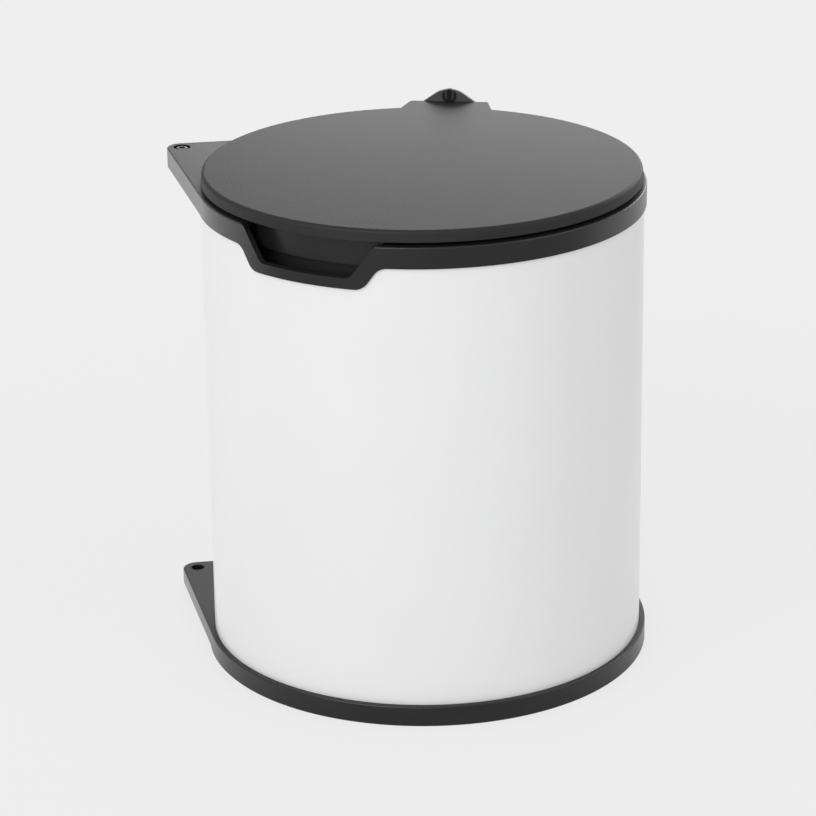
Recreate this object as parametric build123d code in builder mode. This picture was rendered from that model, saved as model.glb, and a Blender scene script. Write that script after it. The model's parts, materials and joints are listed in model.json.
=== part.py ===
"""Built-in kitchen bin that swings out of a cupboard on two ears.

Millimetres, +Z up. The origin is on the axis of the round body at the floor,
the finger grip faces -Y, the two pivot ears point to -X and the lid hinge is
at the back, a little to the left.
"""
from build123d import *
import os
from math import acos, atan2, cos, degrees, hypot, radians, sin, sqrt, tan

# Overrun of a cutting shape past what it cuts
cut_margin = 1.0

# Painted sheet body
body_radius = 136.0
sheet = 0.6
seam_width = 9.0
seam_angle = 75.0
channel_gap = 0.25

# Collar round the top of the body
collar_top = 303.0
collar_depth = 13.0
collar_overhang = 1.5
collar_width = 13.5
collar_web = 2.4
collar_wall = 2.0
edge_rounding = 0.9
sheet_entry = 9.3
ledge_drop = 13.0
ledge_width = 4.7

# Finger grip moulded into the collar's front
grip_half_width = 45.1
grip_drop = 20.5
grip_slope = 55.0
grip_leg = 9.6
grip_lip = 6.4
grip_inner_rounding = 6.0
grip_outer_rounding = 9.0
grip_top_rounding = 3.0
grip_trim = 1.8

# Base pan under the body
base_height = 13.0
base_overhang = 3.7
base_groove_floor = 3.6
base_inner_height = 22.0
base_floor_top = 10.5
base_floor_thickness = 2.4
foot_ring_width = 11.9
hub_radius = 16.0
base_rib_count = 12
base_rib_thickness = 2.0
base_rib_lift = 1.2
base_rib_root = 0.5

# Snap barbs that hold the sheet in the collar and in the base pan
barb_count = 6
barb_width = 9.4
barb_height = 2.4
barb_play = 0.3
barb_reach = 0.5
barb_edge_margin = 2.6
barb_turn = 30.0

# Pivot ears on the collar and the base pan
ear_reach = 33.5
pivot_y = -11.0
ear_tip_radius = 9.6
ear_back_direction = 40.0
ear_back_fillet = 5.0
ear_wall = 2.4
upper_ear_height = 12.4
lower_ear_height = 9.8
ear_boss_radius = 7.9

# Bushes in the ears
bush_fit = 0.04
upper_bush_radius = 3.8
upper_bush_bore = 2.1
upper_groove_radius = 5.5
upper_groove_depth = 2.6
upper_bush_inset = 0.4
lower_bush_radius = 4.3
lower_bush_bore = 3.1
lower_bush_inset = 3.0
lower_bush_chamfer = 0.4
bush_flange = 1.6
bush_flange_thickness = 1.4

# Lid
lid_gap = 2.4
lid_height = 7.0
lid_inset = 2.1
lid_draft = 0.4
lid_shoulder = 2.4
lid_crown = 0.8
lid_wall = 2.2
lid_ring_gap = 3.0
lid_ring_thickness = 2.0
lid_ring_drop = 3.8
lid_rib_count = 12
lid_rib_thickness = 1.6
lid_rib_depth = 3.2
lid_hub_radius = 26.0

# Hinge block, lugs and pin
hinge_angle = 114.0
hinge_drop = 5.0
block_overhang = 12.6
block_root_half = 30.0
block_back_half = 25.2
block_rounding = 3.0
block_notch_gap = 0.5
block_notch_depth = 2.0
block_root_inset = 8.0
knuckle_radius = 4.6
knuckle_inset = 0.1
knuckle_half = 15.0
knuckle_gap = 0.4
knuckle_root = 1.0
lug_width = 6.6
lug_radius = 5.0
pin_radius = 2.0
pin_running_gap = 0.06
pin_seat_gap = 0.02
pin_overrun = 2.4
pin_chamfer = 0.4
clip_radius = 4.2
clip_thickness = 1.0
clip_gap = 0.15
clip_slot = 0.5
clip_slot_count = 4

# Lid lever with the stud for its link
lever_thickness = 2.6
lever_rise = 8.0
lever_peak_radius = 16.0
lever_slope = 35.0
lever_foot_half = 14.6
lever_foot_drop = 4.2
lever_screw_drop = 1.8
lever_shoulder_half = 21.5
lever_shoulder_drop = 2.6
lever_screw_spacing = 18.0
lever_screw_radius = 1.4
lever_screw_length = 7.0
lever_screw_head_radius = 2.8
lever_screw_head_height = 1.8
lever_screw_slot = 0.7
screw_hole_gap = 0.05
stud_drop = 4.1
stud_shank_radius = 2.4
stud_head_radius = 4.5
stud_head_thickness = 1.3
stud_rim = 1.3
stud_bar = 2.6
stud_recess = 0.8
stud_groove_length = 2.8
stud_end_radius = 3.2
stud_end_thickness = 1.4
stud_end_chamfer = 0.5

# Buffers between collar and lid
buffer_rear_angle = 40.0
buffer_front_angle = 100.0
buffer_radius = 4.0
buffer_stem_radius = 1.9
buffer_stem_length = 4.0
buffer_seat_gap = 0.1
buffer_pad_radius = 5.0
buffer_stand = 2.1
buffer_touch_gap = 0.1

# Inner bucket
bucket_clearance = 0.6
bucket_wall = 2.0
bucket_ledge_gap = 1.3
bucket_draft = 5.5
bucket_floor_gap = 9.0
bucket_flange = 2.0
bucket_foot_rounding = 12.0
bucket_rest_width = 28.5
bucket_punt = 3.0

# Bail of the bucket and its grip
wire_radius = 1.75
bail_lug_gap = 1.05
bail_hole_gap = 0.15
bail_lug_inset = 1.1
bail_end_overrun = 0.9
bail_bend = 2.6
bail_lug_width = 11.0
bail_lug_thickness = 2.0
bail_lug_cap = 1.5
bail_grip_radius = 3.2
bail_grip_gap = 0.05
bail_grip_rest = 0.2
bail_grip_angle = 46.0

# Radii and heights that follow from the sizes above
collar_radius = body_radius + collar_overhang
pivot_x = -collar_radius - ear_reach
channel_outer = body_radius + channel_gap
channel_inner = body_radius - sheet - channel_gap
locating_inner = channel_inner - collar_wall
throat_radius = collar_radius - collar_width
throat_wall_outer = throat_radius + collar_wall
ledge_radius = throat_radius - ledge_width
ledge_top = collar_top - ledge_drop
ledge_bottom = ledge_top - collar_web
collar_bottom = collar_top - collar_depth
channel_top = collar_bottom + sheet_entry + channel_gap
sheet_top = collar_bottom + sheet_entry
sheet_bottom = base_groove_floor + channel_gap
base_radius = body_radius + base_overhang
lid_bottom = collar_top + lid_gap
lid_top = lid_bottom + lid_height
lid_radius = collar_radius - lid_inset
lid_ceiling = lid_top - lid_wall
block_reach = lid_radius + block_overhang
hinge_radius = block_reach - knuckle_radius - knuckle_inset
hinge_height = collar_top - hinge_drop
pivot_distance = hypot(pivot_x, pivot_y)
pivot_direction = degrees(atan2(pivot_y, pivot_x))
pivot_point = Vector(pivot_x, pivot_y)

lug_start = knuckle_half + knuckle_gap
lug_end = lug_start + lug_width
lid_flat = lid_radius - lid_draft - lid_shoulder
crown_radius = (lid_flat**2 + lid_crown**2) / (2 * lid_crown)
lid_ring_outer = throat_radius - lid_ring_gap
lid_ring_low = collar_top - lid_ring_drop
lever_peak = lid_top + lever_rise
stud_height = lever_peak - stud_drop
lever_back = block_reach + lever_thickness
lever_screw_height = lid_bottom - lever_screw_drop
stud_end_start = lever_back + stud_groove_length
buffer_circle = (throat_wall_outer + locating_inner) / 2
buffer_angles = [
    hinge_angle + side * turn
    for side in (-1, 1)
    for turn in (buffer_rear_angle, buffer_front_angle)
]
bucket_top = ledge_top + bucket_flange
bucket_flange_radius = throat_radius - bucket_clearance
bucket_mouth = ledge_radius - bucket_ledge_gap
bucket_foot = bucket_mouth - bucket_draft
bucket_punt_radius = bucket_foot - bucket_rest_width
bucket_bottom = base_floor_top + bucket_floor_gap
bail_height = bucket_top + bail_grip_radius + bail_grip_rest
bail_lug_outer = bucket_flange_radius - bail_lug_inset
bail_lug_inner = bail_lug_outer - bail_lug_thickness
bail_radius = bail_lug_inner - bail_lug_gap - wire_radius
bail_end = bail_lug_outer + bail_end_overrun
upper_ear_bottom = collar_top - upper_ear_height
lower_ear_bottom = base_height - lower_ear_height

hinge_out = Vector(cos(radians(hinge_angle)), sin(radians(hinge_angle)), 0)
hinge_along = Vector(-hinge_out.Y, hinge_out.X, 0)


def polar_point(radius, angle, height=0.0):
    """Point at a radius and an angle about the axis of the body."""
    return Vector(radius * cos(radians(angle)), radius * sin(radians(angle)), height)


def hinge_section(offset=0.0):
    """Upright plane through the hinge, local x outwards and local y up."""
    return Plane(origin=hinge_along * offset, x_dir=hinge_out, z_dir=-hinge_along)


def hinge_front(distance):
    """Upright plane square to the hinge direction, at this distance from the axis."""
    return Plane(origin=hinge_out * distance, x_dir=hinge_along, z_dir=hinge_out)


def hinge_plan(height):
    """Level plane with local x pointing at the hinge."""
    return Plane(origin=(0, 0, height), x_dir=hinge_out, z_dir=(0, 0, 1))


def grip_half(height, leg):
    """Half width of the grip outline at a height, this far outside the notch."""
    slope = radians(grip_slope)
    return grip_half_width + (height - collar_top) / tan(slope) + leg / sin(slope)


def grip_prism(inner, outer, leg, lip, shoulder, bottom_rounding, shoulder_rounding):
    """Part of a ring that lies inside the grip outline, open above the shoulder."""
    low = collar_top - grip_drop - lip
    high = collar_top + collar_depth
    wide = grip_half(high, leg) + collar_depth
    with BuildPart() as prism:
        with BuildSketch(Plane.XY.offset(low - cut_margin)):
            Circle(outer)
            Circle(inner, mode=Mode.SUBTRACT)
        extrude(amount=high - low + 2 * cut_margin)
        with BuildSketch(Plane.XZ) as outline:
            with BuildLine():
                Polyline(
                    (-wide, high),
                    (-wide, shoulder),
                    (-grip_half(shoulder, leg), shoulder),
                    (-grip_half(low, leg), low),
                    (grip_half(low, leg), low),
                    (grip_half(shoulder, leg), shoulder),
                    (wide, shoulder),
                    (wide, high),
                    close=True,
                )
            make_face()
            fillet(outline.vertices().group_by(Axis.Z)[0], radius=bottom_rounding)
            level = outline.vertices().filter_by_position(
                Axis.Z, shoulder - cut_margin, shoulder + cut_margin
            )
            fillet(level.sort_by(Axis.X)[1:-1], radius=shoulder_rounding)
        extrude(amount=outer + cut_margin, mode=Mode.INTERSECT)
    return prism.part


def ear_sketch(ring_radius, inset=0.0):
    """Ring disc with the pivot ear on it: a tangent front edge, a round tip and a straight back edge."""
    tip = ear_tip_radius - inset
    disc = ring_radius - inset
    front = radians(pivot_direction) + acos((disc - tip) / pivot_distance)
    back = radians(ear_back_direction + 90)
    along_back = Vector(cos(radians(ear_back_direction)), sin(radians(ear_back_direction)))
    root = Vector(cos(front), sin(front)) * disc
    tip_front = pivot_point + Vector(cos(front), sin(front)) * tip
    tip_back = pivot_point + Vector(cos(back), sin(back)) * tip
    bisector = Vector(cos(front) + cos(back), sin(front) + sin(back)).normalized()
    tip_end = pivot_point + bisector * tip
    reach = -tip_back.dot(along_back) - sqrt(tip_back.dot(along_back) ** 2 - tip_back.length**2 + disc**2)
    heel = tip_back + along_back * reach
    with BuildSketch() as outline:
        with BuildLine():
            Line((0, 0), root)
            Line(root, tip_front)
            ThreePointArc(tip_front, tip_end, tip_back)
            Line(tip_back, heel)
            Line(heel, (0, 0))
        make_face()
        Circle(disc)
        fillet(outline.vertices().sort_by_distance((heel.X, heel.Y, 0))[0], radius=ear_back_fillet)
    return outline.sketch


def eared_block(outer, low, ear_low, top, bore):
    """Solid disc with its pivot ear, the ear open underneath and with a boss round its hole."""
    with BuildPart() as block:
        with BuildSketch(Plane.XY.offset(ear_low)):
            add(ear_sketch(outer))
        extrude(amount=top - ear_low)
        fillet(block.edges().group_by(Axis.Z)[-1], radius=edge_rounding)
        with BuildSketch(Plane.XY.offset(low)):
            Circle(outer)
        extrude(amount=ear_low - low)
        with BuildSketch(Plane.XY.offset(ear_low)):
            add(ear_sketch(outer, ear_wall))
            Circle(outer, mode=Mode.SUBTRACT)
            with Locations((pivot_x, pivot_y)):
                Circle(ear_boss_radius, mode=Mode.SUBTRACT)
        extrude(amount=top - ear_low - ear_wall, mode=Mode.SUBTRACT)
        with Locations((pivot_x, pivot_y, top)):
            Hole(bore, depth=top - ear_low)
    return block.part


def barb_ring(radius, reach, height, width, tall):
    """Blocks evenly round the wall, used for the barbs and for their windows."""
    with BuildPart() as blocks:
        with PolarLocations(radius + reach / 2, barb_count, start_angle=barb_turn):
            with Locations((0, 0, height)):
                Box(reach, width, tall)
    return blocks.part


def barbs(height):
    """Snap barbs on the inner channel wall, reaching through the windows of the sheet."""
    root = channel_inner - barb_reach
    return barb_ring(root, body_radius - root, height, barb_width, barb_height)


upper_barb_height = sheet_top - barb_edge_margin
lower_barb_height = sheet_bottom + barb_edge_margin
seam_low = base_inner_height + channel_gap
seam_high = collar_bottom - collar_wall

# Painted sheet rolled into a tube, with a lap seam, the cut-out for the grip and the barb windows
with BuildPart() as outer_body:
    with BuildSketch(Plane.XY.offset(sheet_bottom)):
        Circle(body_radius)
        Circle(body_radius - sheet, mode=Mode.SUBTRACT)
    extrude(amount=sheet_top - sheet_bottom)
    with BuildSketch(Plane.XY.offset(seam_low)):
        seam_arc = degrees(seam_width / body_radius)
        seam_outer = body_radius - sheet / 2
        seam_inner = body_radius - 2 * sheet
        with BuildLine():
            CenterArc((0, 0), seam_outer, seam_angle, seam_arc)
            CenterArc((0, 0), seam_inner, seam_angle, seam_arc)
            for edge_angle in (seam_angle, seam_angle + seam_arc):
                Line(polar_point(seam_outer, edge_angle), polar_point(seam_inner, edge_angle))
        make_face()
    extrude(amount=seam_high - seam_low)
    add(
        grip_prism(
            body_radius - 3 * sheet,
            body_radius + cut_margin,
            grip_trim,
            grip_trim,
            collar_top,
            grip_inner_rounding,
            grip_top_rounding,
        ),
        mode=Mode.SUBTRACT,
    )
    for window_height in (upper_barb_height, lower_barb_height):
        add(
            barb_ring(
                body_radius - 2 * sheet,
                3 * sheet,
                window_height,
                barb_width + 2 * barb_play,
                barb_height + 2 * barb_play,
            ),
            mode=Mode.SUBTRACT,
        )
outer_body.part.label = "outer_body"

# Space that the sheet and its play take in the mouldings of the grip
with BuildPart() as grip_slot:
    with BuildSketch(Plane.XY.offset(collar_bottom - collar_depth - grip_drop)):
        Circle(channel_outer)
        Circle(channel_inner, mode=Mode.SUBTRACT)
    extrude(amount=channel_top - collar_bottom + collar_depth + grip_drop)
    add(
        grip_prism(
            channel_inner - cut_margin,
            channel_outer + cut_margin,
            grip_trim - channel_gap,
            grip_trim - channel_gap,
            collar_top,
            grip_inner_rounding,
            grip_top_rounding,
        ),
        mode=Mode.SUBTRACT,
    )

# Frame of the grip, which grips the edge of the sheet's cut-out
with BuildPart() as grip_frame:
    add(
        grip_prism(
            locating_inner,
            collar_radius,
            grip_leg,
            grip_lip,
            collar_bottom,
            grip_outer_rounding,
            grip_top_rounding,
        )
    )
    frame_low = collar_top - grip_drop - grip_lip
    with BuildSketch(Plane.XY.offset(frame_low - cut_margin)):
        Circle(collar_radius + cut_margin)
    extrude(amount=collar_bottom - frame_low + cut_margin, mode=Mode.INTERSECT)
    add(grip_slot.part, mode=Mode.SUBTRACT)

# Collar, cut from one block: throat and ledge for the bucket, channel over the sheet, finger grip,
# upper ear and hinge lugs
with BuildPart() as collar:
    add(eared_block(collar_radius, ledge_bottom, upper_ear_bottom, collar_top, upper_bush_radius + bush_fit))
    with BuildSketch(Plane.XZ):
        with BuildLine():
            Polyline(
                (0, collar_top + cut_margin),
                (throat_radius, collar_top + cut_margin),
                (throat_radius, ledge_top),
                (ledge_radius, ledge_top),
                (ledge_radius, ledge_bottom - cut_margin),
                (0, ledge_bottom - cut_margin),
                close=True,
            )
        make_face()
        with BuildLine():
            Polyline(
                (throat_wall_outer, ledge_bottom - cut_margin),
                (throat_wall_outer, collar_top - collar_web),
                (locating_inner, collar_top - collar_web),
                (locating_inner, collar_bottom),
                (channel_inner, collar_bottom),
                (channel_inner, channel_top),
                (channel_outer, channel_top),
                (channel_outer, collar_bottom),
                (collar_radius + cut_margin, collar_bottom),
                (collar_radius + cut_margin, ledge_bottom - cut_margin),
                close=True,
            )
        make_face()
    revolve(axis=Axis.Z, mode=Mode.SUBTRACT)
    add(barbs(upper_barb_height))
    add(grip_frame.part)
    add(
        grip_prism(
            throat_wall_outer,
            collar_radius + cut_margin,
            0,
            0,
            collar_top,
            grip_inner_rounding,
            grip_top_rounding,
        ),
        mode=Mode.SUBTRACT,
    )
    for side in (-1, 1):
        with BuildSketch(hinge_section(side * lug_start)):
            with BuildLine():
                Polyline(
                    (channel_outer + channel_gap, collar_bottom),
                    (channel_outer + channel_gap, collar_top - edge_rounding),
                    (hinge_radius, hinge_height + lug_radius),
                    (hinge_radius, hinge_height - lug_radius),
                    close=True,
                )
            make_face()
            with Locations((hinge_radius, hinge_height)):
                Circle(lug_radius)
        extrude(amount=-side * lug_width)
    with BuildSketch(hinge_section(lug_end + cut_margin)):
        with Locations((hinge_radius, hinge_height)):
            Circle(pin_radius + pin_seat_gap)
    extrude(amount=2 * (lug_end + cut_margin), mode=Mode.SUBTRACT)
    with Locations((pivot_x, pivot_y, collar_top)):
        Hole(upper_groove_radius, depth=upper_groove_depth)
    with Locations(*[polar_point(buffer_circle, angle, collar_top) for angle in buffer_angles]):
        Hole(buffer_stem_radius + buffer_seat_gap, depth=collar_web)
collar.part.label = "collar"

# Base pan, cut from one block: groove for the sheet, closed floor with ribs under it, foot ring and
# lower ear
with BuildPart() as base_pan:
    add(eared_block(base_radius, 0, lower_ear_bottom, base_height, lower_bush_radius + bush_fit))
    foot_edge = base_pan.edges().filter_by(GeomType.CIRCLE).group_by(Axis.Z)[0].sort_by(SortBy.RADIUS)[-1]
    chamfer(foot_edge, length=edge_rounding)
    with BuildSketch(Plane.XY.offset(base_height)):
        Circle(channel_inner)
    extrude(amount=base_inner_height - base_height)
    with BuildSketch(Plane.XZ):
        floor_low = base_floor_top - base_floor_thickness
        foot_inner = base_radius - foot_ring_width
        with BuildLine():
            Polyline(
                (0, base_inner_height + cut_margin),
                (locating_inner, base_inner_height + cut_margin),
                (locating_inner, base_floor_top),
                (0, base_floor_top),
                close=True,
            )
        make_face()
        with BuildLine():
            Polyline(
                (channel_inner, base_groove_floor),
                (channel_inner, base_height + cut_margin),
                (channel_outer, base_height + cut_margin),
                (channel_outer, base_groove_floor),
                close=True,
            )
        make_face()
        with BuildLine():
            Polyline(
                (0, -cut_margin),
                (foot_inner, -cut_margin),
                (foot_inner, floor_low),
                (0, floor_low),
                close=True,
            )
        make_face()
    revolve(axis=Axis.Z, mode=Mode.SUBTRACT)
    with BuildSketch():
        Circle(hub_radius)
    extrude(amount=floor_low)
    with BuildSketch(Plane.XY.offset(base_rib_lift)):
        rib_length = foot_inner - hub_radius + 2 * base_rib_root
        with PolarLocations(hub_radius - base_rib_root + rib_length / 2, base_rib_count):
            Rectangle(rib_length, base_rib_thickness)
    extrude(amount=floor_low - base_rib_lift)
    add(barbs(lower_barb_height))
base_pan.part.label = "base_pan"

# Bush of the upper ear, standing in a ring groove
with BuildPart() as upper_pivot_bush:
    with BuildSketch(Plane((pivot_x, pivot_y, upper_ear_bottom))):
        Circle(upper_bush_radius)
    extrude(amount=upper_ear_height - upper_bush_inset)
    chamfer(upper_pivot_bush.edges().group_by(Axis.Z)[-1], length=upper_bush_inset)
    with BuildSketch(Plane((pivot_x, pivot_y, upper_ear_bottom - bush_flange_thickness))):
        Circle(upper_bush_radius + bush_flange)
    extrude(amount=bush_flange_thickness)
    with Locations((pivot_x, pivot_y, collar_top)):
        Hole(upper_bush_bore)
upper_pivot_bush.part.label = "upper_pivot_bush"

# Bush of the lower ear, set deep in its hole
with BuildPart() as lower_pivot_bush:
    with BuildSketch(Plane((pivot_x, pivot_y, lower_ear_bottom))):
        Circle(lower_bush_radius)
    extrude(amount=lower_ear_height - lower_bush_inset)
    chamfer(lower_pivot_bush.edges().group_by(Axis.Z)[-1], length=lower_bush_chamfer)
    with BuildSketch(Plane((pivot_x, pivot_y, lower_ear_bottom - bush_flange_thickness))):
        Circle(lower_bush_radius + bush_flange)
    extrude(amount=bush_flange_thickness)
    with Locations((pivot_x, pivot_y, base_height)):
        Hole(lower_bush_bore)
lower_pivot_bush.part.label = "lower_pivot_bush"

# Lid: a shallow crowned moulding with ribs, locating ring, hinge block and knuckle
with BuildPart() as lid:
    with BuildSketch(Plane.XZ):
        half_flat = lid_flat / 2
        half_height = lid_top + lid_crown - crown_radius + sqrt(crown_radius**2 - half_flat**2)
        with BuildLine():
            ThreePointArc((0, lid_top + lid_crown), (half_flat, half_height), (lid_flat, lid_top))
            CenterArc((lid_flat, lid_top - lid_shoulder), lid_shoulder, 0, 90)
            Polyline(
                (lid_radius - lid_draft, lid_top - lid_shoulder),
                (lid_radius, lid_bottom),
                (lid_radius - lid_wall, lid_bottom),
                (lid_radius - lid_wall - lid_draft, lid_ceiling),
                (lid_ring_outer, lid_ceiling),
                (lid_ring_outer, lid_ring_low),
                (lid_ring_outer - lid_ring_thickness, lid_ring_low),
                (lid_ring_outer - lid_ring_thickness, lid_ceiling),
                (0, lid_ceiling),
                (0, lid_top + lid_crown),
            )
        make_face()
    revolve(axis=Axis.Z)
    with BuildSketch(Plane.XY.offset(lid_ceiling - lid_rib_depth)):
        Circle(lid_hub_radius)
        Circle(lid_hub_radius - lid_rib_thickness, mode=Mode.SUBTRACT)
        lid_rib_length = lid_ring_outer - lid_ring_thickness / 2 - lid_hub_radius + lid_rib_thickness / 2
        with PolarLocations(lid_hub_radius - lid_rib_thickness / 2 + lid_rib_length / 2, lid_rib_count):
            Rectangle(lid_rib_length, lid_rib_thickness)
    extrude(amount=lid_rib_depth)
    pad_low = collar_top + buffer_stand + buffer_touch_gap
    with BuildSketch(Plane.XY.offset(pad_low)):
        with Locations(*[polar_point(buffer_circle, angle) for angle in buffer_angles]):
            Circle(buffer_pad_radius)
    extrude(amount=lid_ceiling - pad_low)
    with BuildSketch(hinge_plan(lid_bottom)) as block_plan:
        Polygon(
            (lid_radius - block_root_inset, -block_root_half),
            (block_reach, -block_back_half),
            (block_reach, block_back_half),
            (lid_radius - block_root_inset, block_root_half),
            align=None,
        )
        fillet(block_plan.vertices().sort_by_distance(hinge_out * block_reach)[:2], radius=block_rounding)
    extrude(amount=lid_height)
    with BuildSketch(hinge_section(knuckle_half)):
        with BuildLine():
            Polyline(
                (hinge_radius - knuckle_radius, hinge_height),
                (hinge_radius - knuckle_radius, lid_bottom + knuckle_root),
                (block_reach, lid_bottom + knuckle_root),
                (block_reach, hinge_height - lever_foot_drop / 2),
                (hinge_radius, hinge_height - knuckle_radius),
                close=True,
            )
        make_face()
        with Locations((hinge_radius, hinge_height)):
            Circle(knuckle_radius)
    extrude(amount=2 * knuckle_half)
    with BuildSketch(hinge_section(knuckle_half + cut_margin)):
        with Locations((hinge_radius, hinge_height)):
            Circle(pin_radius + pin_running_gap)
    extrude(amount=2 * (knuckle_half + cut_margin), mode=Mode.SUBTRACT)
    with BuildSketch(hinge_front(block_reach)):
        with Locations((0, stud_height)):
            Circle(stud_head_radius + block_notch_gap)
    extrude(amount=-block_notch_depth, mode=Mode.SUBTRACT)
    with BuildSketch(hinge_front(block_reach)):
        with Locations((0, lever_screw_height)):
            with GridLocations(lever_screw_spacing, 1, 2, 1):
                Circle(lever_screw_radius + screw_hole_gap)
    extrude(amount=-lever_screw_length, mode=Mode.SUBTRACT)
lid.part.label = "lid"

# Lever plate behind the hinge block, bell-shaped above the lid
with BuildPart() as lid_lever:
    with BuildSketch(hinge_front(block_reach)):
        slope = radians(lever_slope)
        turn_half = lever_peak_radius * sin(slope)
        turn_height = lever_peak - lever_peak_radius * (1 - cos(slope))
        shoulder_height = turn_height - (lever_shoulder_half - turn_half) * tan(slope)
        shoulder_low = shoulder_height - lever_shoulder_drop
        foot_low = hinge_height - lever_foot_drop
        with BuildLine():
            ThreePointArc((-turn_half, turn_height), (0, lever_peak), (turn_half, turn_height))
            Polyline(
                (turn_half, turn_height),
                (lever_shoulder_half, shoulder_height),
                (lever_shoulder_half, shoulder_low),
                (lever_foot_half, shoulder_low - lever_shoulder_drop),
                (lever_foot_half, foot_low),
                (-lever_foot_half, foot_low),
                (-lever_foot_half, shoulder_low - lever_shoulder_drop),
                (-lever_shoulder_half, shoulder_low),
                (-lever_shoulder_half, shoulder_height),
                (-turn_half, turn_height),
            )
        make_face()
        with Locations((0, stud_height)):
            Circle(stud_shank_radius + screw_hole_gap, mode=Mode.SUBTRACT)
        with Locations((0, lever_screw_height)):
            with GridLocations(lever_screw_spacing, 1, 2, 1):
                Circle(lever_screw_radius + screw_hole_gap, mode=Mode.SUBTRACT)
    extrude(amount=lever_thickness)
lid_lever.part.label = "lid_lever"

# Two screws that hold the lever to the lid
with BuildPart() as lever_screws:
    with BuildSketch(hinge_front(lever_back)):
        with Locations((0, lever_screw_height)):
            with GridLocations(lever_screw_spacing, 1, 2, 1):
                Circle(lever_screw_head_radius)
    extrude(amount=lever_screw_head_height)
    fillet(
        lever_screws.edges().filter_by(GeomType.CIRCLE).sort_by(SortBy.DISTANCE)[-2:],
        radius=lever_screw_head_height / 2,
    )
    with BuildSketch(hinge_front(lever_back + lever_screw_head_height)):
        with Locations((0, lever_screw_height)):
            with GridLocations(lever_screw_spacing, 1, 2, 1):
                Rectangle(lever_screw_head_radius, lever_screw_slot)
                Rectangle(lever_screw_slot, lever_screw_head_radius)
    extrude(amount=-lever_screw_head_height / 2, mode=Mode.SUBTRACT)
    with BuildSketch(hinge_front(lever_back)):
        with Locations((0, lever_screw_height)):
            with GridLocations(lever_screw_spacing, 1, 2, 1):
                Circle(lever_screw_radius)
    extrude(amount=screw_hole_gap - lever_screw_length)
lever_screws.part.label = "lever_screws"

# Push-in stud: slotted head in front of the lever, groove and end flange behind it
with BuildPart() as link_stud:
    with BuildSketch(hinge_front(block_reach)):
        with Locations((0, stud_height)):
            Circle(stud_head_radius)
    extrude(amount=-stud_head_thickness)
    with BuildSketch(hinge_front(block_reach - stud_head_thickness)):
        with Locations((0, stud_height)):
            Circle(stud_head_radius - stud_rim)
            with Locations((0, stud_head_radius / 2)):
                Rectangle(2 * (stud_head_radius - stud_rim), stud_head_radius)
            Rectangle(stud_bar, 2 * stud_head_radius, mode=Mode.SUBTRACT)
    extrude(amount=stud_recess, mode=Mode.SUBTRACT)
    with BuildSketch(hinge_front(block_reach)):
        with Locations((0, stud_height)):
            Circle(stud_shank_radius)
    extrude(amount=stud_end_start - block_reach)
    with BuildSketch(hinge_front(stud_end_start)):
        with Locations((0, stud_height)):
            Circle(stud_end_radius)
    extrude(amount=stud_end_thickness)
    rim = link_stud.edges().filter_by(GeomType.CIRCLE).sort_by(SortBy.DISTANCE)[-1]
    chamfer(rim, length=stud_end_chamfer)
link_stud.part.label = "link_stud"

# Steel pin through lugs and knuckle
with BuildPart() as hinge_pin:
    with BuildSketch(hinge_section(lug_end + pin_overrun)):
        with Locations((hinge_radius, hinge_height)):
            Circle(pin_radius)
    extrude(amount=2 * (lug_end + pin_overrun))
    chamfer(hinge_pin.edges().filter_by(GeomType.CIRCLE), length=pin_chamfer)
hinge_pin.part.label = "hinge_pin"

# Push-on clips at both ends of the pin
with BuildPart() as hinge_pin_clips:
    for side in (-1, 1):
        with BuildSketch(hinge_section(side * (lug_end + clip_gap))):
            with Locations((hinge_radius, hinge_height)):
                Circle(clip_radius)
                Circle(pin_radius + pin_seat_gap, mode=Mode.SUBTRACT)
                with PolarLocations(pin_radius + pin_seat_gap, clip_slot_count):
                    Rectangle(pin_radius, clip_slot, mode=Mode.SUBTRACT)
        extrude(amount=-side * clip_thickness)
hinge_pin_clips.part.label = "hinge_pin_clips"

# Soft buffers that the lid comes to rest on
with BuildPart() as lid_buffers:
    with BuildSketch(Plane.XY.offset(collar_top)):
        with Locations(*[polar_point(buffer_circle, angle) for angle in buffer_angles]):
            Circle(buffer_radius)
    extrude(amount=buffer_stand)
    fillet(lid_buffers.edges().group_by(Axis.Z)[-1], radius=buffer_stand / 2)
    with BuildSketch(Plane.XY.offset(collar_top)):
        with Locations(*[polar_point(buffer_circle, angle) for angle in buffer_angles]):
            Circle(buffer_stem_radius)
    extrude(amount=-buffer_stem_length)
lid_buffers.part.label = "lid_buffers"

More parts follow.
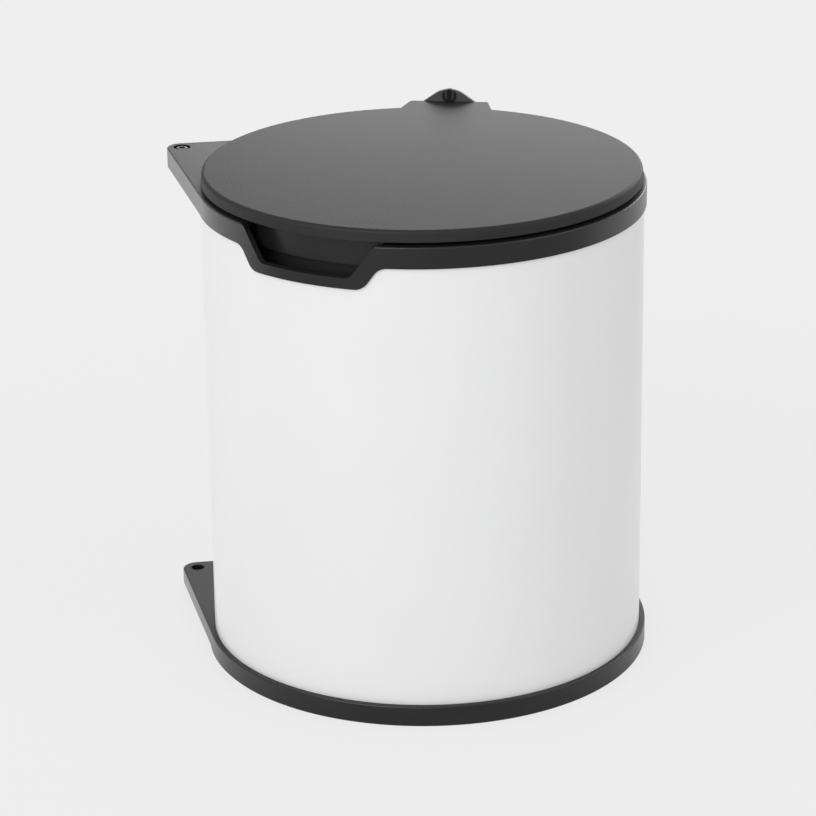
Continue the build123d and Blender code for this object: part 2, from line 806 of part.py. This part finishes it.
# Inner bucket hanging in the collar by its flange
with BuildPart() as inner_bucket:
    with BuildSketch(Plane.XZ) as bucket_profile:
        with BuildLine():
            Polyline(
                (0, bucket_bottom + bucket_punt),
                (bucket_punt_radius, bucket_bottom + bucket_punt),
                (bucket_punt_radius + bucket_punt, bucket_bottom),
                (bucket_foot, bucket_bottom),
                (bucket_mouth, ledge_top),
                (bucket_flange_radius, ledge_top),
                (bucket_flange_radius, bucket_top),
                (bucket_mouth - bucket_wall, bucket_top),
                (bucket_foot - bucket_wall, bucket_bottom + bucket_wall),
                (bucket_punt_radius + bucket_punt, bucket_bottom + bucket_wall),
                (bucket_punt_radius, bucket_bottom + bucket_punt + bucket_wall),
                (0, bucket_bottom + bucket_punt + bucket_wall),
                close=True,
            )
        make_face()
        corners = bucket_profile.vertices()
        outer_corner = corners.sort_by_distance((bucket_foot, 0, bucket_bottom))[0]
        inner_corner = corners.sort_by_distance((bucket_foot - bucket_wall, 0, bucket_bottom + bucket_wall))[0]
        fillet(outer_corner, radius=bucket_foot_rounding)
        fillet(inner_corner, radius=bucket_foot_rounding - bucket_wall)
    revolve(axis=Axis.Z)
    for side in (-1, 1):
        with BuildSketch(Plane((side * bail_lug_inner, 0, 0), x_dir=(0, side, 0), z_dir=(side, 0, 0))):
            with Locations((0, bail_height)):
                Circle(wire_radius + bail_hole_gap + bail_lug_cap)
            with BuildLine():
                cap_radius = wire_radius + bail_hole_gap + bail_lug_cap
                Polyline(
                    (-cap_radius, bail_height),
                    (-bail_lug_width / 2, bucket_top - bucket_flange / 2),
                    (bail_lug_width / 2, bucket_top - bucket_flange / 2),
                    (cap_radius, bail_height),
                    close=True,
                )
            make_face()
            with Locations((0, bail_height)):
                Circle(wire_radius + bail_hole_gap, mode=Mode.SUBTRACT)
        extrude(amount=bail_lug_thickness)
inner_bucket.part.label = "inner_bucket"

# Wire bail lying on the bucket's flange, its bent ends in the lugs
with BuildPart() as bucket_bail:
    with BuildLine(Plane.XY.offset(bail_height)) as bail_path:
        Line((bail_end, 0), (bail_radius, 0))
        CenterArc((0, 0), bail_radius, 0, 180)
        Line((-bail_radius, 0), (-bail_end, 0))
        bends = bail_path.vertices().sort_by_distance((0, 0, bail_height))[:2]
        fillet(bends, radius=bail_bend)
    with BuildSketch(Plane((bail_end, 0, bail_height), x_dir=(0, 1, 0), z_dir=(-1, 0, 0))):
        Circle(wire_radius)
    sweep(path=bail_path.wires()[0])
bucket_bail.part.label = "bucket_bail"

# Plastic sleeve in the middle of the bail
with BuildPart() as bail_grip:
    grip_start = 90 - bail_grip_angle / 2
    start_point = polar_point(bail_radius, grip_start, bail_height)
    start_way = polar_point(1, grip_start + 90)
    with BuildLine(Plane.XY.offset(bail_height)) as sleeve_path:
        CenterArc((0, 0), bail_radius, grip_start, bail_grip_angle)
    with BuildSketch(Plane(start_point, x_dir=(0, 0, 1), z_dir=start_way)):
        Circle(bail_grip_radius)
        Circle(wire_radius + bail_grip_gap, mode=Mode.SUBTRACT)
    sweep(path=sleeve_path.wires()[0])
bail_grip.part.label = "bail_grip"

pieces = (
    outer_body,
    collar,
    base_pan,
    upper_pivot_bush,
    lower_pivot_bush,
    lid,
    lid_lever,
    lever_screws,
    link_stud,
    hinge_pin,
    hinge_pin_clips,
    lid_buffers,
    inner_bucket,
    bucket_bail,
    bail_grip,
)
os.makedirs("parts", exist_ok=True)
for piece in pieces:
    export_step(piece.part, f"parts/{piece.part.label}.step")
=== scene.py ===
"""Looks of the built-in kitchen bin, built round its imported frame."""
import json
import bmesh
import bpy
import numpy as np
from math import cos, radians, sin
from mathutils import Matrix, Vector


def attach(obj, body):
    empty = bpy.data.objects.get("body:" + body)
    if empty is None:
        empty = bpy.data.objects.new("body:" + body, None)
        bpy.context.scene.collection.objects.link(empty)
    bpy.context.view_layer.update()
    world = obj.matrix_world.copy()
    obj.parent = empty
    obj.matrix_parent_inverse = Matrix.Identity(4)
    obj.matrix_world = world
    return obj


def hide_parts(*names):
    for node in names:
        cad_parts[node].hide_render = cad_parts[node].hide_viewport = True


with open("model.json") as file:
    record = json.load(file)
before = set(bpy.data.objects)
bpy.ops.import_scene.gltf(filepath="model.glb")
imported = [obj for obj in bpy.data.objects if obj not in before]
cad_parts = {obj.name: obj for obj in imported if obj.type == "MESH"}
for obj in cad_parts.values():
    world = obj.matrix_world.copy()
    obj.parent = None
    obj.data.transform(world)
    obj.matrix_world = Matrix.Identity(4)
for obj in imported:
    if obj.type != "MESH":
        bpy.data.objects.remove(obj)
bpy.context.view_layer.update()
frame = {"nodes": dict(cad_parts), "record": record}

# Camera, as the photograph was taken
CAMERA_TURN = radians(31.4)
CAMERA_RISE = radians(20.465)
CAMERA_ROLL = radians(-0.747)
CAMERA_DISTANCE = 2.0825
CAMERA_LENS = 146.29
CAMERA_SENSOR = 36.0
CAMERA_CLIP = (0.1, 50.0)
LOOK_SIDE = -0.01046
LOOK_HEIGHT = 0.15386

# Backdrop: the white that the camera sees, the light it gives, and its share in mirrored rays
BACKDROP = 0.863
ROOM_LIGHT = 0.6
MIRRORED_BACKDROP = 0.1

# Floor: its matt tones, the share of backdrop white near the bin, and where it turns all white
FLOOR_SIZE = 8.0
FLOOR_TONE = 0.86
FLOOR_MIRRORED_TONE = 0.42
FLOOR_WHITE = 0.86
FADE_START = 0.25
FADE_LENGTH = 0.9

# Glow that the floor behind the bin has in mirrored rays, and how it falls off to the right
REAR_GLOW = 0.98
REAR_LENGTH = 0.25
REAR_OFFSET = 0.7
SIDE_LOSS = 0.5
SIDE_SLOPE = 2.0

# Lamps: place to the right of the view, away and up, height they aim at, size, power in watts,
# whether matt surfaces get their light, whether glossy ones show them
LAMPS = {
    "left_soft": ((-1.3, -2.1, 1.4), 0.2, (2.4, 2.0), 32, True, True),
    "right_soft": ((2.3, -1.0, 1.2), 0.2, (2.0, 2.0), 8, True, True),
    "back_fill": ((0.4, 2.4, 1.4), 0.2, (2.0, 2.0), 12, True, False),
    "back_soft": ((0.2, 0.5, 0.44), 0.3, (0.9, 0.26), 2.3, False, True),
}

# Direction of the hinge from the axis, and how far along it the stud's recess lies
HINGE_ANGLE = radians(114.0)
HINGE_OUT = (cos(HINGE_ANGLE), sin(HINGE_ANGLE), 0.0)
RECESS_START = 0.1472
LEVER_FRONT = 0.1479

# Smoothing: points this close are one, faces this flat are one, and edges this sharp stay sharp
WELD = 0.00001
FLAT = radians(0.2)
CREASE = radians(32.0)

# A face is on a wall round the axis if it is this upright, even in radius and far from the axis
WALL_LEAN = 0.01
WALL_SPREAD = 0.00002
WALL_RADIUS = 0.05

# Keeps a division off nought
TINY = 1e-30

# How fast a finish stops counting a face as level when it leans
LEVEL_POWER = 4.0


class Value:
    """A number socket, so that maths on it is written as an expression."""

    def __init__(self, tree, socket):
        self.tree = tree
        self.socket = socket

    def maths(self, operation, first, second):
        sockets = {0: first, 1: second}
        return self.tree.make("ShaderNodeMath", {"operation": operation}, sockets)

    def __add__(self, other):
        return self.maths("ADD", self, other)

    def __sub__(self, other):
        return self.maths("SUBTRACT", self, other)

    def __mul__(self, other):
        return self.maths("MULTIPLY", self, other)

    def __truediv__(self, other):
        return self.maths("DIVIDE", self, other)

    def __radd__(self, other):
        return self.maths("ADD", other, self)

    def __rsub__(self, other):
        return self.maths("SUBTRACT", other, self)

    def __rmul__(self, other):
        return self.maths("MULTIPLY", other, self)

    def power(self, other):
        return self.maths("POWER", self, other)

    def above(self, other):
        """One where this value is greater, else nought."""
        return self.maths("GREATER_THAN", self, other)

    def clipped(self):
        """This value kept between nought and one."""
        return self.tree.make("ShaderNodeClamp", {}, {"Value": self})


class Tree:
    """The node tree of a finish or of the world. Every node comes from make()."""

    def __init__(self, owner):
        owner.use_nodes = True
        self.nodes = owner.node_tree.nodes
        self.links = owner.node_tree.links
        self.nodes.clear()

    def make(self, kind, settings, sockets, out=0):
        """A node with its settings and its socket values or links. Gives the wanted output."""
        node = self.nodes.new(kind)
        for name, setting in settings.items():
            setattr(node, name, setting)
        for name, value in sockets.items():
            if isinstance(value, Value):
                self.links.new(value.socket, node.inputs[name])
            else:
                node.inputs[name].default_value = value
        return Value(self, node.outputs[out]) if len(node.outputs) else node

    def place(self):
        """Object coordinates in metres."""
        return self.make("ShaderNodeTexCoord", {}, {}, "Object")

    def ray(self, kind):
        """One for rays of this kind, else nought."""
        return self.make("ShaderNodeLightPath", {}, {}, kind)

    def along(self, vector, axis):
        """How far a vector reaches along an axis."""
        settings = {"operation": "DOT_PRODUCT"}
        return self.make("ShaderNodeVectorMath", settings, {0: vector, 1: axis}, "Value")

    def level(self):
        """One on faces that look straight up or down, and less the more they lean."""
        rise = self.along(self.make("ShaderNodeTexCoord", {}, {}, "Normal"), (0, 0, 1))
        return (rise * rise).power(LEVEL_POWER)

    def noise(self, where, size, detail, roughness=0.5):
        """Cloudy noise whose features are about this many metres across."""
        sockets = {"Vector": where, "Scale": 1 / size, "Detail": detail, "Roughness": roughness}
        return self.make("ShaderNodeTexNoise", {}, sockets)

    def cells(self, where, size):
        """Distance to the nearest of points about this many metres apart, smoothed."""
        sockets = {"Vector": where, "Scale": 1 / size}
        return self.make("ShaderNodeTexVoronoi", {"feature": "SMOOTH_F1"}, sockets)

    def stretched(self, where, scale):
        """Coordinates times a scale of their own on each axis."""
        return self.make("ShaderNodeMapping", {}, {"Vector": where, "Scale": scale})

    def tint(self, low, high, factor):
        """Colour between two tones."""
        sockets = {0: factor, 6: (*low, 1), 7: (*high, 1)}
        return self.make("ShaderNodeMix", {"data_type": "RGBA"}, sockets, 2)

    def bump(self, height, distance):
        """Normal of a relief that is this many metres deep."""
        sockets = {"Height": height, "Distance": distance, "Strength": 1.0}
        return self.make("ShaderNodeBump", {}, sockets)

    def surface(self, sockets):
        """The shader of an object's finish and its output."""
        shader = self.make("ShaderNodeBsdfPrincipled", {}, sockets)
        self.make("ShaderNodeOutputMaterial", {}, {"Surface": shader})


def new_finish(name):
    """An empty finish, its tree and its object coordinates."""
    finish = bpy.data.materials.new(name)
    tree = Tree(finish)
    return finish, tree, tree.place()


def grey(tone):
    """A neutral colour."""
    return (tone, tone, tone)


def white_paint():
    """Smooth stoved paint on sheet steel: faint orange peel, very slight unevenness of tone."""
    finish, tree, where = new_finish("white_paint")
    peel = tree.noise(where, size=0.0016, detail=2.0)
    sway = tree.noise(where, size=0.05, detail=1.0)
    tree.surface(
        {
            "Base Color": tree.tint((0.83, 0.832, 0.835), grey(0.85), sway),
            "Roughness": 0.34 + 0.08 * sway,
            "Specular IOR Level": 0.45,
            "Coat Weight": 0.25,
            "Coat Roughness": 0.12,
            "Normal": tree.bump(peel + 0.6 * sway, distance=0.00003),
        }
    )
    return finish


def dark_moulding():
    """Moulded plastic with a fine spark-eroded grain, coarser and so duller on its level faces."""
    finish, tree, where = new_finish("dark_moulding")
    grain = tree.noise(where, size=0.0006, detail=3.0, roughness=0.6)
    sway = tree.noise(where, size=0.02, detail=2.0)
    level = tree.level()
    tree.surface(
        {
            "Base Color": tree.tint((0.009, 0.0091, 0.0097), (0.013, 0.013, 0.0137), sway),
            "Roughness": 0.24 + 0.12 * grain + 0.22 * level,
            "Coat Weight": 0.18 * (1 - level),
            "Coat Roughness": 0.2,
            "Normal": tree.bump(grain, distance=0.00006),
        }
    )
    return finish


def lid_moulding():
    """Moulded plastic with a matt pebbled grain."""
    finish, tree, where = new_finish("lid_moulding")
    pebbles = tree.cells(where, size=0.0011)
    grain = tree.noise(where, size=0.0005, detail=3.0, roughness=0.6)
    sway = tree.noise(where, size=0.03, detail=2.0)
    tree.surface(
        {
            "Base Color": tree.tint(grey(0.011), grey(0.017), 0.6 * sway + 0.4 * grain),
            "Roughness": 0.52 + 0.12 * grain,
            "Specular IOR Level": 0.4,
            "Normal": tree.bump(pebbles + 0.5 * grain, distance=0.00009),
        }
    )
    return finish


def lever_moulding():
    """Lighter grey plastic of the lever's plate, with a fine grain."""
    finish, tree, where = new_finish("lever_moulding")
    grain = tree.noise(where, size=0.0006, detail=3.0, roughness=0.6)
    sway = tree.noise(where, size=0.01, detail=2.0)
    tree.surface(
        {
            "Base Color": tree.tint(grey(0.062), grey(0.078), sway),
            "Roughness": 0.45 + 0.12 * grain,
            "Normal": tree.bump(grain, distance=0.00006),
        }
    )
    return finish


def stud_nylon():
    """Black plastic of the stud. The floor of its head's recess has the lever's grey."""
    finish, tree, where = new_finish("stud_nylon")
    haze = tree.noise(where, size=0.002, detail=2.0)
    reach = tree.along(where, HINGE_OUT)
    recess = reach.above(RECESS_START) * (1 - reach.above(LEVER_FRONT))
    black = 0.006 + 0.003 * haze
    tree.surface(
        {
            "Base Color": tree.tint(grey(0), grey(1), black + 0.05 * recess),
            "Roughness": 0.5 + 0.15 * haze,
            "Specular IOR Level": 0.2,
            "Normal": tree.bump(haze, distance=0.00003),
        }
    )
    return finish


def black_nylon():
    """Smooth unpainted black plastic."""
    finish, tree, where = new_finish("black_nylon")
    haze = tree.noise(where, size=0.002, detail=2.0)
    tree.surface(
        {
            "Base Color": tree.tint((0.006, 0.006, 0.0065), (0.011, 0.011, 0.012), haze),
            "Roughness": 0.35 + 0.15 * haze,
            "Normal": tree.bump(haze, distance=0.00003),
        }
    )
    return finish


def pin_steel():
    """Zinc-plated steel with fine drawn lines."""
    finish, tree, where = new_finish("pin_steel")
    lines = tree.noise(tree.stretched(where, (1.0, 1.0, 12.0)), size=0.004, detail=3.0)
    tree.surface(
        {
            "Base Color": tree.tint((0.46, 0.47, 0.49), grey(0.62), lines),
            "Metallic": 1.0,
            "Roughness": 0.22 + 0.2 * lines,
            "Normal": tree.bump(lines, distance=0.00002),
        }
    )
    return finish


def buffer_rubber():
    """Soft matt rubber."""
    finish, tree, where = new_finish("buffer_rubber")
    dust = tree.noise(where, size=0.0015, detail=3.0)
    tree.surface(
        {
            "Base Color": tree.tint(grey(0.012), grey(0.03), dust),
            "Roughness": 0.7 + 0.2 * dust,
            "Normal": tree.bump(dust, distance=0.00008),
        }
    )
    return finish


def bucket_plastic():
    """Satin moulded plastic with slight flow lines."""
    finish, tree, where = new_finish("bucket_plastic")
    flow = tree.noise(tree.stretched(where, (1.0, 1.0, 0.25)), size=0.03, detail=2.0)
    grain = tree.noise(where, size=0.0009, detail=2.0)
    tree.surface(
        {
            "Base Color": tree.tint((0.018, 0.0182, 0.019), (0.026, 0.026, 0.0268), flow),
            "Roughness": 0.38 + 0.12 * grain,
            "Normal": tree.bump(grain, distance=0.00004),
        }
    )
    return finish


# The finish of each material slot, and of two pieces that differ from their slot's
FINISHES = {
    "body_paint": white_paint(),
    "dark_moulding": dark_moulding(),
    "lid_moulding": lid_moulding(),
    "black_nylon": black_nylon(),
    "pin_steel": pin_steel(),
    "buffer_rubber": buffer_rubber(),
    "bucket_plastic": bucket_plastic(),
}
FINISH_OF = {"lid_lever": lever_moulding(), "link_stud": stud_nylon()}
SLOT_OF = {entry["node"]: entry["material_slot"] for entry in frame["record"]["subparts"]}
BODY_OF = {
    node: body
    for body, nodes in frame["record"]["behaviour"]["bodies"].items()
    for node in nodes
}


def column(items, name, kind=float, width=1):
    """One property of all the mesh's vertices, corners or faces as an array."""
    values = np.empty(width * len(items), dtype=kind)
    items.foreach_get(name, values)
    return values.reshape(-1, width) if width > 1 else values


def corner_normals(mesh):
    """Normals of a mesh's face corners.

    On a wall round the body's axis a normal points straight out from the axis, or in. Anywhere else
    it is the mean of the faces that meet at the corner and turn from each other by less than the
    crease, each counted by its area, so that flat faces stay flat next to a rounded edge.
    """
    corners = len(mesh.loops)
    vertex = column(mesh.loops, "vertex_index", np.int32)
    points = column(mesh.vertices, "co", width=3)[vertex]
    facing = column(mesh.polygons, "normal", width=3)
    area = column(mesh.polygons, "area")
    start = column(mesh.polygons, "loop_start", np.int32)
    count = column(mesh.polygons, "loop_total", np.int32)
    face = np.repeat(np.arange(len(mesh.polygons)), count)

    # Each corner's own normal: out of the axis on a wall, the face's elsewhere
    radius = np.maximum(np.hypot(points[:, 0], points[:, 1]), TINY)
    spread = np.maximum.reduceat(radius, start) - np.minimum.reduceat(radius, start)
    upright = np.abs(facing[:, 2]) < WALL_LEAN
    wall = upright & (spread < WALL_SPREAD) & (radius[start] > WALL_RADIUS)
    outward = np.zeros((corners, 3))
    outward[:, :2] = points[:, :2] / radius[:, None]
    side = np.sign(np.sum(outward * facing[face], axis=1))
    own = np.where(wall[face][:, None], outward * side[:, None], facing[face])

    # All pairs of corners that share a vertex: left is smoothed over right
    order = np.argsort(vertex, kind="stable")
    meeting = np.bincount(vertex)
    first_of = np.cumsum(meeting) - meeting
    pairs = meeting[vertex]
    left = np.repeat(np.arange(corners), pairs)
    step = np.arange(pairs.sum()) - np.repeat(np.cumsum(pairs) - pairs, pairs)
    right = order[np.repeat(first_of[vertex], pairs) + step]

    near = np.sum(own[left] * own[right], axis=1) > cos(CREASE)
    weight = area[face[right]] * near
    sums = [np.bincount(left, weight * own[right, axis], corners) for axis in range(3)]
    mean = np.stack(sums, axis=1)
    length = np.linalg.norm(mean, axis=1)[:, None]
    mean = np.where(length > 0, mean / np.maximum(length, TINY), own)
    return np.where(wall[face][:, None], own, mean)


def smooth_copy(node):
    """The solid's own surface, welded, its flat faces made whole and its curved ones smoothed."""
    mesh = frame["nodes"][node].data.copy()
    work = bmesh.new()
    work.from_mesh(mesh)
    bmesh.ops.remove_doubles(work, verts=work.verts, dist=WELD)
    bmesh.ops.dissolve_degenerate(work, edges=work.edges, dist=WELD)
    bmesh.ops.dissolve_limit(work, angle_limit=FLAT, verts=work.verts, edges=work.edges)
    work.to_mesh(mesh)
    work.free()
    mesh.shade_smooth()
    mesh.normals_split_custom_set(corner_normals(mesh))
    mesh.materials.clear()
    mesh.materials.append(FINISH_OF.get(node, FINISHES[SLOT_OF[node]]))
    piece = bpy.data.objects.new(node + "_shell", mesh)
    bpy.context.scene.collection.objects.link(piece)
    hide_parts(node)
    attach(piece, BODY_OF[node])


def studio_point(side, depth, height):
    """A point given to the right of the view, away from the camera and up."""
    return (
        side * cos(CAMERA_TURN) - depth * sin(CAMERA_TURN),
        side * sin(CAMERA_TURN) + depth * cos(CAMERA_TURN),
        height,
    )


def backdrop():
    """Even light from all round. The camera sees it as the photograph's white."""
    world = bpy.data.worlds.new("studio")
    bpy.context.scene.world = world
    tree = Tree(world)
    white = (1, 1, 1, 1)
    shown_share = tree.ray("Is Camera Ray") + MIRRORED_BACKDROP * tree.ray("Is Glossy Ray")
    soft = tree.make("ShaderNodeBackground", {}, {"Color": white, "Strength": ROOM_LIGHT})
    shown = tree.make("ShaderNodeBackground", {}, {"Color": white, "Strength": BACKDROP})
    mixed = tree.make("ShaderNodeMixShader", {}, {0: shown_share.clipped(), 1: soft, 2: shown})
    tree.make("ShaderNodeOutputWorld", {}, {"Surface": mixed})


def pale_floor():
    """Level floor that shows the backdrop's white and keeps part of its shading near the bin.

    Mirrored in the bin, it glows behind the bin like the backdrop and is darker in front of it.
    """
    half = FLOOR_SIZE / 2
    corners = [(-half, -half, 0), (half, -half, 0), (half, half, 0), (-half, half, 0)]
    mesh = bpy.data.meshes.new("floor")
    mesh.from_pydata(corners, [], [(0, 1, 2, 3)])
    floor = bpy.data.objects.new("floor", mesh)
    bpy.context.scene.collection.objects.link(floor)

    finish, tree, where = new_finish("floor")
    seen = tree.ray("Is Camera Ray")
    mirrored = tree.ray("Is Glossy Ray")
    reach = tree.make("ShaderNodeVectorMath", {"operation": "LENGTH"}, {0: where}, "Value")
    fade = ((reach - FADE_START) / FADE_LENGTH).clipped()
    away = tree.along(where, studio_point(0, 1, 0))
    aside = tree.along(where, studio_point(1, 0, 0))
    behind = (away / REAR_LENGTH + REAR_OFFSET).clipped()
    behind = behind * (1 - SIDE_LOSS * (SIDE_SLOPE * aside).clipped())
    share = seen * (FLOOR_WHITE + (1 - FLOOR_WHITE) * fade) + mirrored * (REAR_GLOW * behind)
    tone = tree.tint(grey(FLOOR_TONE), grey(FLOOR_MIRRORED_TONE), mirrored * (1 - behind))
    sockets = {"Base Color": tone, "Roughness": 1.0, "Specular IOR Level": 0.0}
    matt = tree.make("ShaderNodeBsdfPrincipled", {}, sockets)
    white = tree.tint(grey(BACKDROP), grey(1), mirrored)
    glow = tree.make("ShaderNodeEmission", {}, {"Color": white, "Strength": 1.0})
    mixed = tree.make("ShaderNodeMixShader", {}, {0: share.clipped(), 1: matt, 2: glow})
    tree.make("ShaderNodeOutputMaterial", {}, {"Surface": mixed})
    mesh.materials.append(finish)


def lamp(name, place, aim, size, power, lights, shines):
    """A soft rectangular lamp that the camera doesn't see."""
    light = bpy.data.lights.new(name, "AREA")
    light.shape = "RECTANGLE"
    light.size, light.size_y = size
    light.energy = power
    holder = bpy.data.objects.new(name, light)
    holder.location = place
    holder.rotation_mode = "QUATERNION"
    holder.rotation_quaternion = (Vector(aim) - Vector(place)).to_track_quat("-Z", "Y")
    holder.visible_camera = False
    holder.visible_diffuse = lights
    holder.visible_glossy = shines
    bpy.context.scene.collection.objects.link(holder)


def camera():
    """The camera at the photograph's viewing angle, from turn, rise, roll and distance."""
    turn = Matrix.Rotation(CAMERA_TURN, 3, "Z")
    side = turn @ Vector((1, 0, 0))
    back = turn @ Vector((0, -cos(CAMERA_RISE), sin(CAMERA_RISE)))
    up = back.cross(side)
    right = cos(CAMERA_ROLL) * side + sin(CAMERA_ROLL) * up
    top = cos(CAMERA_ROLL) * up - sin(CAMERA_ROLL) * side
    aim = LOOK_SIDE * side + Vector((0, 0, LOOK_HEIGHT))
    data = bpy.data.cameras.new("camera")
    data.lens = CAMERA_LENS
    data.sensor_width = CAMERA_SENSOR
    data.clip_start, data.clip_end = CAMERA_CLIP
    holder = bpy.data.objects.new("camera", data)
    axes = Matrix((right, top, back)).transposed().to_4x4()
    holder.matrix_world = Matrix.Translation(aim + back * CAMERA_DISTANCE) @ axes
    bpy.context.scene.collection.objects.link(holder)
    bpy.context.scene.camera = holder


for node in frame["nodes"]:
    smooth_copy(node)

bpy.context.scene.view_settings.view_transform = "Standard"
backdrop()
pale_floor()
for name, (place, aim_height, size, power, lights, shines) in LAMPS.items():
    lamp(name, studio_point(*place), (0, 0, aim_height), size, power, lights, shines)
camera()
